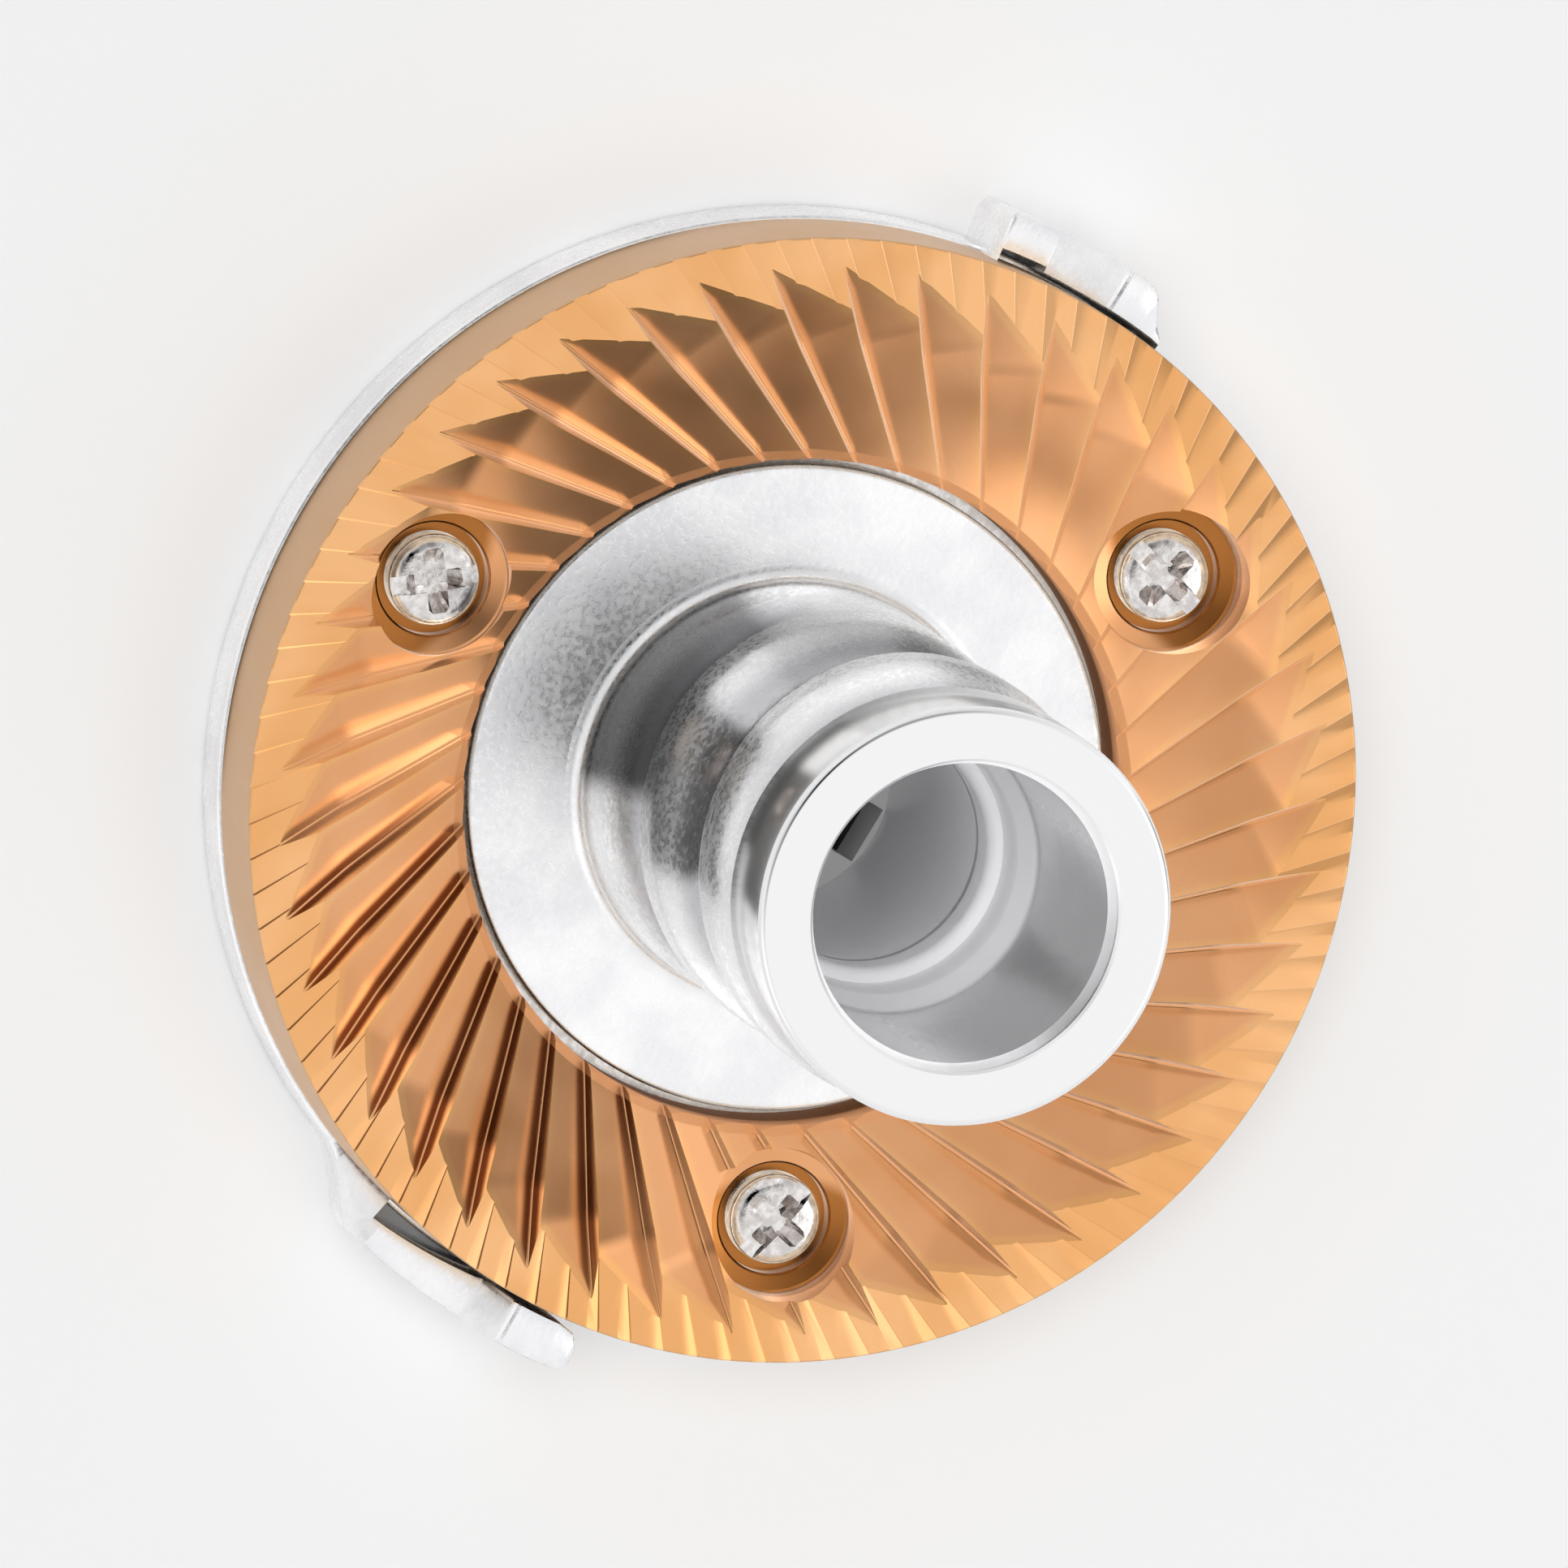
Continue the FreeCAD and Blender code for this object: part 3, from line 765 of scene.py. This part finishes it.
foot_start = FLANGE_TOP - 0.4
hub_outline = [(HUB_INSIDE, foot_start), (HUB_RADIUS + FOOT_WIDTH, foot_start)]
hub_outline += arc((HUB_RADIUS + FOOT_WIDTH, FLANGE_TOP + FOOT_HEIGHT), (FOOT_WIDTH, FOOT_HEIGHT),
                   -90, -180, 7)
wall_number = len(hub_outline)
hub_outline += [(HUB_RADIUS, BAND_START - 0.15), (HUB_RADIUS - 0.12, BAND_START)]
hub_outline += [(HUB_INSIDE, BAND_START), (HUB_INSIDE, foot_start)]
hub = turned("auger_hub", hub_outline, casting, 360, {wall_number: HUB_STATIONS})
run_tree(hub, auger_groove, {
    "Pitch": 13.3 * MM, "Depth": 1.35 * MM, "Start Level": 9.0 * MM,
    "Start Angle": math.radians(0.5), "Foot Level": (FLANGE_TOP + FOOT_HEIGHT) * MM,
    "Post Radius": HUB_RADIUS * MM, "Skin Depth": 0.05 * MM, "Seed": 7, "Material": casting,
})
outward(hub)
shade(hub, 40)
join_piece("auger_hub", [hub], ["burr_carrier"])

# %% [markdown]
# The plate is a rounded disc with a raised flange inside the ring. At the bottom of the bore a web
# closes it, and a slot through the web takes the shaft's cross piece. The slot is an exact cut,
# made by a helper that the screws use too.
# %% Plate, flange and web
RIM_RADIUS = 32.3
FLANGE_RADIUS = 18.45
DRIVE_BORE = 6.65
WEB_TOP = 3.4
SLOT_HALF_WIDTH = 1.7
SLOT_HALF_LENGTH = 6.3

web_radius = DRIVE_BORE + 0.4
plate_outline = [(web_radius, 0), (RIM_RADIUS - 0.2, 0), (RIM_RADIUS, 0.2)]
plate_outline += rounded(RIM_RADIUS, PLATE_TOP, 0.25)
plate_outline += [(FLANGE_RADIUS, PLATE_TOP)]
plate_outline += rounded(FLANGE_RADIUS, FLANGE_TOP, 0.25)
flange_number = len(plate_outline)
plate_outline += [(web_radius, FLANGE_TOP), (web_radius, 0)]
plate = turned("plate", plate_outline, casting, 360, {1: 8, flange_number: 60})
shade(plate, 40)

web = turned("web", [(0, 0), (web_radius, 0), (web_radius, WEB_TOP), (0, WEB_TOP)], bored, 360)


def subtract(made, tools):
    """Exact cut by loose tools, which are then removed. The cut faces get the piece's material."""
    material = made.data.materials[0]
    for tool in tools:
        modifier = made.modifiers.new("cut", "BOOLEAN")
        modifier.operation = "DIFFERENCE"
        modifier.solver = "EXACT"
        modifier.object = tool
    keep_result(made)
    mesh = made.data
    mesh.materials.clear()
    mesh.materials.append(material)
    mesh.polygons.foreach_set("material_index", [0] * len(mesh.polygons))
    for tool in tools:
        bpy.data.objects.remove(tool)


slot_rows = [rectangle(SLOT_HALF_WIDTH, SLOT_HALF_LENGTH, level) for level in (-1.0, 5.0)]
subtract(web, [lofted("slot", slot_rows)])
shade(web, 30)

# %% [markdown]
# The bore is made as the real one is: a wide upper bore, a cone, a rounded lip that catches the
# light, and a smooth lower bore for the shaft. The two walls overlap a little inside the metal, so
# that no gap shows.
# %% Bores
NOSE_LEVEL = 44.6
MOUTH_LEVEL = NOSE_LEVEL - 1.2
BORE_RADIUS = 8.3
CONE_TOP = 28.9
DRIVE_TOP = 24.9
OVERLAP_START = 22.0
LIP = 0.85

bore_outline = [(9.6, OVERLAP_START), (9.6, MOUTH_LEVEL), (BORE_RADIUS, MOUTH_LEVEL)]
bore_wall = len(bore_outline)
bore_outline += [(BORE_RADIUS, CONE_TOP + 0.4), (BORE_RADIUS - 0.18, CONE_TOP)]
cone_wall = len(bore_outline)
bore_outline += [(BORE_RADIUS - 0.75, CONE_TOP - 1.6), (DRIVE_BORE + 0.75, DRIVE_TOP + 0.25)]
bore_outline += arc((DRIVE_BORE + 0.9 * LIP, DRIVE_TOP - LIP), (0.9 * LIP, LIP), 90, 180, 6)
bore_outline += [(DRIVE_BORE, OVERLAP_START), (9.6, OVERLAP_START)]
cast_bore = turned("cast_bore", bore_outline, bored, 240, {bore_wall: 50, cone_wall: 10})
shade(cast_bore, 40)
drive_bore = turned("drive_bore", [(DRIVE_BORE, 22.5), (DRIVE_BORE, 0.1), (8.0, 0.1), (8.0, 22.5),
                                   (DRIVE_BORE, 22.5)], bored, 240)
shade(drive_bore, 40)

# %% [markdown]
# The nose is the machined end of the hub: a plain band for the bearing, a rounded outer edge, a
# flat end face and a chamfered mouth. It is a form of its own, because its finish differs from
# the casting.
# %% Nose
MOUTH_RADIUS = 8.6
NOSE_RADIUS = 11.6

nose_start = BAND_START - 0.3
nose_outline = [(9.0, nose_start), (NOSE_RADIUS - 0.1, nose_start), (NOSE_RADIUS, BAND_START)]
nose_outline += rounded(NOSE_RADIUS, NOSE_LEVEL, 0.35)
nose_outline += [(NOSE_RADIUS - 0.45, NOSE_LEVEL), (MOUTH_RADIUS + 0.25, NOSE_LEVEL)]
nose_outline += [(MOUTH_RADIUS + 0.15, NOSE_LEVEL), (MOUTH_RADIUS, NOSE_LEVEL - 0.12)]
nose_outline += [(MOUTH_RADIUS, MOUTH_LEVEL), (9.0, MOUTH_LEVEL), (9.0, nose_start)]
nose = turned("nose", nose_outline, bright, 240)
shade(nose, 35)

# %% [markdown]
# Two sweeper lugs on the rim carry the ground coffee along. Each is lofted through stations around
# the rim: at every station the section is a block from the back face to the lug's top with rounded
# upper corners. Short tables by angle give the inner radius, the outer radius and the top, so both
# lugs come from one function.
# %% Lug helpers
def lug_section(angle, inner, outer, top, corner=0.3):
    """Upright section of a lug at one angle."""
    turn = math.radians(angle)
    corner = min(corner, (outer - inner) * 0.45)
    shape = [(inner, 0.0), (outer, 0.0), (outer, top - corner)]
    shape += [(outer - 0.3 * corner, top - 0.3 * corner), (outer - corner, top)]
    shape += [(inner + corner, top), (inner + 0.3 * corner, top - 0.3 * corner)]
    shape += [(inner, top - corner)]
    return [(radius * math.cos(turn), radius * math.sin(turn), level) for radius, level in shape]


def lug(name, inner, outer, top, step=0.5):
    """Lug from tables of inner radius, outer radius and top along the angle."""
    tables = (inner, outer, top)
    angles = {row[0] for table in tables for row in table}
    first = min(angles)
    last = max(angles)
    count = int((last - first) / step)
    angles |= {first + (last - first) * number / count for number in range(count + 1)}
    made = lofted(name, [lug_section(angle, *(np.interp(angle, *zip(*table)) for table in tables))
                         for angle in sorted(angles)])
    made.data.materials.append(casting)
    shade(made, 28)
    return made


print("a lug's section has", len(lug_section(0, 32, 34, 9)), "points")

# %% [markdown]
# The tops step from the tall block down a slope to the low rib, and a fine line crosses each tall
# block. The west lug is drawn like the east one and mirrored, so its faces are flipped back. Then
# all parts of the casting but the hub are joined to one piece.
# %% Lugs and carrier
LUG_TOP = 9.9
RIB_TOP = 6.2
LUG_RADIUS = 34.9
MARK_DEPTH = 0.25

east = lug(
    "lug_east",
    [(-8.2, 31.6), (-7.9, 32.3), (4.2, 32.3), (4.3, 32.65), (9.1, 32.65), (9.2, 31.6),
     (9.8, 31.6)],
    [(-8.2, 32.35), (-6.6, 33.2), (-5.0, 34.6), (-4.2, 34.82), (-3.4, LUG_RADIUS),
     (9.1, LUG_RADIUS), (9.55, 34.6), (9.8, 34.1)],
    [(-8.2, 9.3), (-7.8, 9.8), (-7.4, LUG_TOP), (-1.78, LUG_TOP), (-1.6, LUG_TOP - MARK_DEPTH),
     (-1.42, LUG_TOP), (-1.05, LUG_TOP), (-0.9, LUG_TOP - 0.1), (4.0, RIB_TOP + 0.1),
     (4.2, RIB_TOP), (9.4, RIB_TOP), (9.8, RIB_TOP - 0.35)],
)
east.data.transform(Matrix.Rotation(math.radians(1.0), 4, "Z"))
west = lug(
    "lug_west",
    [(-9.1, 33.4), (-8.2, 32.6), (-6.4, 32.3), (0.9, 32.3), (1.6, 32.4), (13.4, 33.35),
     (13.5, 31.6), (21.7, 31.6)],
    [(-9.1, 34.0), (-8.9, 34.4), (-8.4, 34.75), (-7.6, LUG_RADIUS), (12.9, LUG_RADIUS),
     (14.2, 34.5), (16.0, 33.7), (17.8, 33.0), (19.8, 32.5), (21.7, 32.25)],
    [(-9.1, 9.5), (-8.8, 9.8), (-8.4, LUG_TOP), (-1.98, LUG_TOP), (-1.8, LUG_TOP - MARK_DEPTH),
     (-1.62, LUG_TOP), (-1.25, LUG_TOP), (-1.1, LUG_TOP - 0.12), (0.8, RIB_TOP + 0.15),
     (1.0, RIB_TOP), (12.5, RIB_TOP), (19.0, 3.5), (21.7, 3.3)],
)
west.data.transform(Matrix.Diagonal((-1.0, 1.0, 1.0, 1.0)))
west.data.flip_normals()
join_piece("carrier_body", [plate, web, cast_bore, drive_bore, nose, east, west],
           ["burr_carrier"])

# %% [markdown]
# A pan-head screw: the head is turned with a rounded edge and sits on a plain shank in the seat.
# %% Screw head
HEAD_RADIUS = 2.6
HEAD_TOP = 7.6
SEAT_LEVEL = 5.8

head_outline = [(0, 1.2), (1.45, 1.2), (1.45, SEAT_LEVEL), (HEAD_RADIUS, SEAT_LEVEL)]
head_outline += arc((HEAD_RADIUS - 0.8, HEAD_TOP - 0.75), (0.8, 0.62), 0, 90, 6)
head_outline += [(1.1, HEAD_TOP - 0.04), (0, HEAD_TOP)]
head = turned("carrier_screws", head_outline, plated, 96)

# %% [markdown]
# The recess takes two drivers: a slot across the head and a deep cross with tapered arms. The
# tools are lofted, because a pressed recess narrows to its floor, and one exact cut takes them all
# out of the head.
# %% Screw recess
ABOVE_HEAD = HEAD_TOP + 0.5
SLOT_WIDTH = 1.05
SLOT_DEPTH = 0.5
ARM_LENGTH = 1.85
ARM_WIDTH = 0.58
ARM_DEPTH = 1.45


def arm_rows():
    """Rows of a tapered recess arm with cut corners, from above the head down to its floor."""
    rows = []
    for level, size in ((ABOVE_HEAD, 1.0), (HEAD_TOP - 0.15, 1.0), (HEAD_TOP - ARM_DEPTH, 0.5)):
        far = ARM_LENGTH * size
        wide = ARM_WIDTH * (0.4 + 0.6 * size)
        near = far - 0.25 * size
        slim = wide - 0.22 * size
        corners = [(far, slim), (near, wide), (-near, wide), (-far, slim),
                   (-far, -slim), (-near, -wide), (near, -wide), (far, -slim)]
        rows.append([(x, y, level) for x, y in corners])
    return rows


arms = [lofted("arm", arm_rows()) for turn in range(2)]
arms[1].data.transform(Matrix.Rotation(math.pi / 2, 4, "Z"))
driver_rows = [rectangle(4, SLOT_WIDTH / 2 + 0.06, ABOVE_HEAD),
               rectangle(4, SLOT_WIDTH / 2, HEAD_TOP - SLOT_DEPTH)]
subtract(head, arms + [lofted("driver_slot", driver_rows)])
shade(head, 32)

# %% [markdown]
# Three equal screws on one circle are a case for instances: the tree makes three points, and each
# gets a copy with its own turn, because a real screw stops where its thread is tight.
# %% Tree that sets the screws
def screw_tree():
    """Three copies of the input on a circle, each with its own turn."""
    tree, given = new_tree("screw_set", [
        ("Circle Radius", "Float", 0.0244), ("First Angle", "Float", 0.0),
        ("First Turn", "Float", 0.0), ("Second Turn", "Float", 0.0), ("Third Turn", "Float", 0.0),
        ("Material", "Material", None),
    ])
    index = add(tree, "GeometryNodeInputIndex")
    angle = add(tree, "Math MULTIPLY_ADD", index, 2 * math.pi / 3, given["First Angle"])
    placed = add(tree, "GeometryNodeSetPosition", {
        "Geometry": add(tree, "GeometryNodePoints", 3),
        "Position": polar(tree, given["Circle Radius"], angle)})
    choice = add(tree, "GeometryNodeIndexSwitch", output=None, data_type="FLOAT")
    choice.index_switch_items.new()
    wire(tree, choice, (index, given["First Turn"], given["Second Turn"], given["Third Turn"]))
    copies = add(tree, "GeometryNodeInstanceOnPoints", {
        "Points": placed, "Instance": given["Geometry"],
        "Rotation": add(tree, "CombineXYZ", 0.0, 0.0, choice.outputs[0])})
    return end_tree(tree, copies, given["Material"])


run_tree(head, screw_tree(), {
    "Circle Radius": SCREW_CIRCLE * MM, "First Angle": math.radians(90),
    "First Turn": math.radians(-51.5), "Second Turn": math.radians(-11.5),
    "Third Turn": math.radians(75.5), "Material": plated,
})
join_piece("carrier_screws", [head],
           ["burr_screw_1", "burr_screw_2", "burr_screw_3"])

# %% [markdown]
# The floor is a wide sheet of white paper, so the part keeps a soft shadow. Under the bore it is
# painted dark, as painted shade, so the slot reads as an opening.
# %% Floor
FLOOR_HALF = 900
PAINTED_SHADE_SPOT = (9.0 * MM, 12.0 * MM)

floor = mesh_object("floor", rectangle(FLOOR_HALF, FLOOR_HALF, 0), [(0, 1, 2, 3)])
paper, tree, shader, place = new_material("white_paper", metallic=0.0)
radius = around_axis(tree, place)[0]
# painted shade: a dark disc under the bore
wire(tree, shader, {"Base Color": tint(tree, radius, *PAINTED_SHADE_SPOT, "202020", "F4F4F4"),
                    "Roughness": 0.9})
floor.data.materials.append(paper)
print("floor reaches", round(max(floor.dimensions), 2), "m")

# %% [markdown]
# A metal part looks like its surroundings, so the surround is its main light. Metal sees a nearly
# white room with soft patches, each given by azimuth, elevation, the angles where it is full and
# where it is gone, and its gain, which is below 0 for a dark card. One more patch is only for rays
# that have bounced often, which brightens the walls of the teeth. Matt surfaces see an even room
# with one soft box, and the camera sees a pale ground. Light Path tells these rays apart.
# %% Surround
world = bpy.data.worlds.new("surround")
bpy.context.scene.world = world
world.use_nodes = True
tree = world.node_tree
tree.nodes.clear()
direction = add(tree, "TexCoord", output="Generated")


def toward(azimuth, elevation):
    """Unit vector from two angles in degrees."""
    flat = math.cos(math.radians(elevation))
    return (flat * math.cos(math.radians(azimuth)), flat * math.sin(math.radians(azimuth)),
            math.sin(math.radians(elevation)))


def patch(azimuth, elevation, near, far, gain):
    """Soft patch of the surround, full within one angle of its middle and gone at another."""
    facing = add(tree, "VectorMath DOT_PRODUCT", direction, toward(azimuth, elevation),
                 output="Value")
    edges = (math.cos(math.radians(far)), math.cos(math.radians(near)))
    return add(tree, "MapRange", facing, *edges, 0.0, gain, **EASED)


PATCHES = [
    (265, 72, 6, 28, 0.06), (100, 73, 4, 22, -0.62), (30, 70, 6, 26, -0.6), (304, 18, 5, 17, -0.62),
    (90, 44, 10, 24, -0.2), (156, 38, 7, 20, 0.34), (286, 50, 5, 15, 1.2), (321, 25, 3, 9, 0.6),
    (15, 36, 12, 34, -0.16),
]
ROOM = 0.92
DEEP_PATCH = (22, 48, 8, 24, 1.8)
SOFT_BOX = (85, 72, 10, 26, 3.6)
MATT_ROOM = 0.4
BACKGROUND = 0.86

metal_sees = ROOM
for row in PATCHES:
    metal_sees = add(tree, "Math ADD", metal_sees, patch(*row))
path = add(tree, "LightPath", output=None).outputs
deep = add(tree, "Math GREATER_THAN", path["Ray Depth"], 2.5)
metal_sees = add(tree, "Math MULTIPLY_ADD", deep, patch(*DEEP_PATCH), metal_sees)
others_see = add(tree, "Math ADD", patch(*SOFT_BOX), MATT_ROOM)
others_see = add(tree, "MapRange", path["Is Camera Ray"], 0.0, 1.0, others_see, BACKGROUND)
strength = add(tree, "MapRange", path["Is Glossy Ray"], 0.0, 1.0, others_see, metal_sees)
sky = add(tree, "Background", {"Color": (1, 1, 1, 1), "Strength": strength})
add(tree, "OutputWorld", sky, output=None)
print("surround has", len(PATCHES), "patches and", len(tree.nodes), "nodes")

# %% [markdown]
# One large soft lamp gives the shadow on the floor a direction. It is hidden from mirror rays, as
# the metal has its surround.
# %% Lamp
LAMP_DISTANCE = 1.0

lamp = bpy.data.lights.new("key", "AREA")
lamp.shape = "SQUARE"
lamp.size = 0.7
lamp.energy = 2.4
key = bpy.data.objects.new("key", lamp)
bpy.context.scene.collection.objects.link(key)
key.location = Vector(toward(azimuth=265, elevation=66)) * LAMP_DISTANCE
key.rotation_euler = key.location.to_track_quat("Z", "Y").to_euler()
key.visible_glossy = False
print("lamp at", [round(value, 2) for value in key.location])

# %% [markdown]
# The camera stands where the photo was taken from, found by fitting the ring and the bore, and is
# turned to the part with a long lens. All three vectors are in the part's own frame, and the hint
# says which way is right in the picture.
# %% Camera
EYE = (27.656, 346.317, 1075.486)
AIM = (0.4, 3.3, 15.1)
RIGHT_HINT = (0.51863553, -0.8110619, 0.27054719)

eye = Vector(EYE) * MM
forward = (Vector(AIM) * MM - eye).normalized()
right = Vector(RIGHT_HINT)
right = (right - forward * right.dot(forward)).normalized()
up = right.cross(forward)
lens = bpy.data.cameras.new("camera")
lens.lens = 460
lens.clip_start = 0.05
camera = bpy.data.objects.new("camera", lens)
bpy.context.scene.collection.objects.link(camera)
turn = Matrix((right, up, -forward)).transposed().to_4x4()
camera.matrix_world = Matrix.Translation(eye) @ turn
bpy.context.scene.camera = camera
bpy.context.scene.view_settings.view_transform = "Standard"
print("camera is", round(camera.location.length, 3), "m from the origin")
